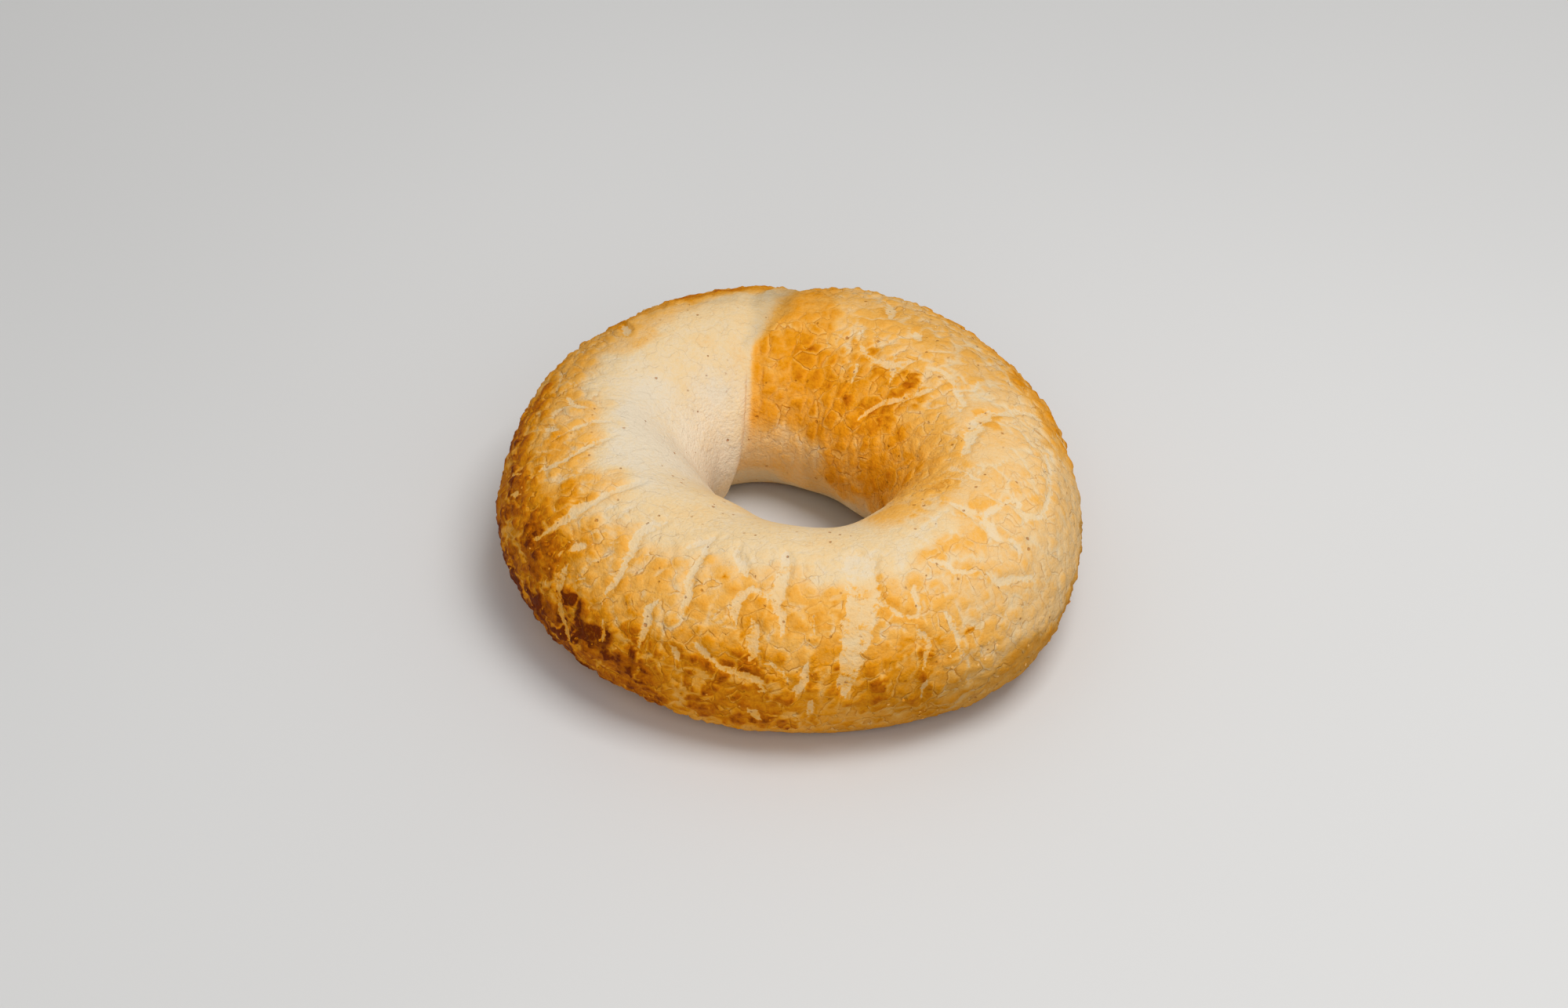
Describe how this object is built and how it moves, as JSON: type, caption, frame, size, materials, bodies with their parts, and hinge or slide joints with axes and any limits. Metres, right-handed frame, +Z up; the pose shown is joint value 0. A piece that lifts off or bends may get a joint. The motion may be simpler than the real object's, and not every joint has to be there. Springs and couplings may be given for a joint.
{
  "type": "cheese bread ring",
  "caption": "Ring of cheese bread: a thick rope of dough lapped at the back, its golden crust split by pale tears, resting on a flat base; a baked food.",
  "frame": {"origin": "on the base plane, under the middle of the bread's box", "axes": "+Z up out of the base; +Y to the back, where the rope's ends lap; +X to the right as the picture sees it"},
  "size_m": [0.1098, 0.1115, 0.0352],
  "materials": {
    "crust": "matt baked crust, golden brown with pale tears"
  },
  "bodies": {
    "root": {"bread_ring": "crust"}
  },
  "joints": []
}
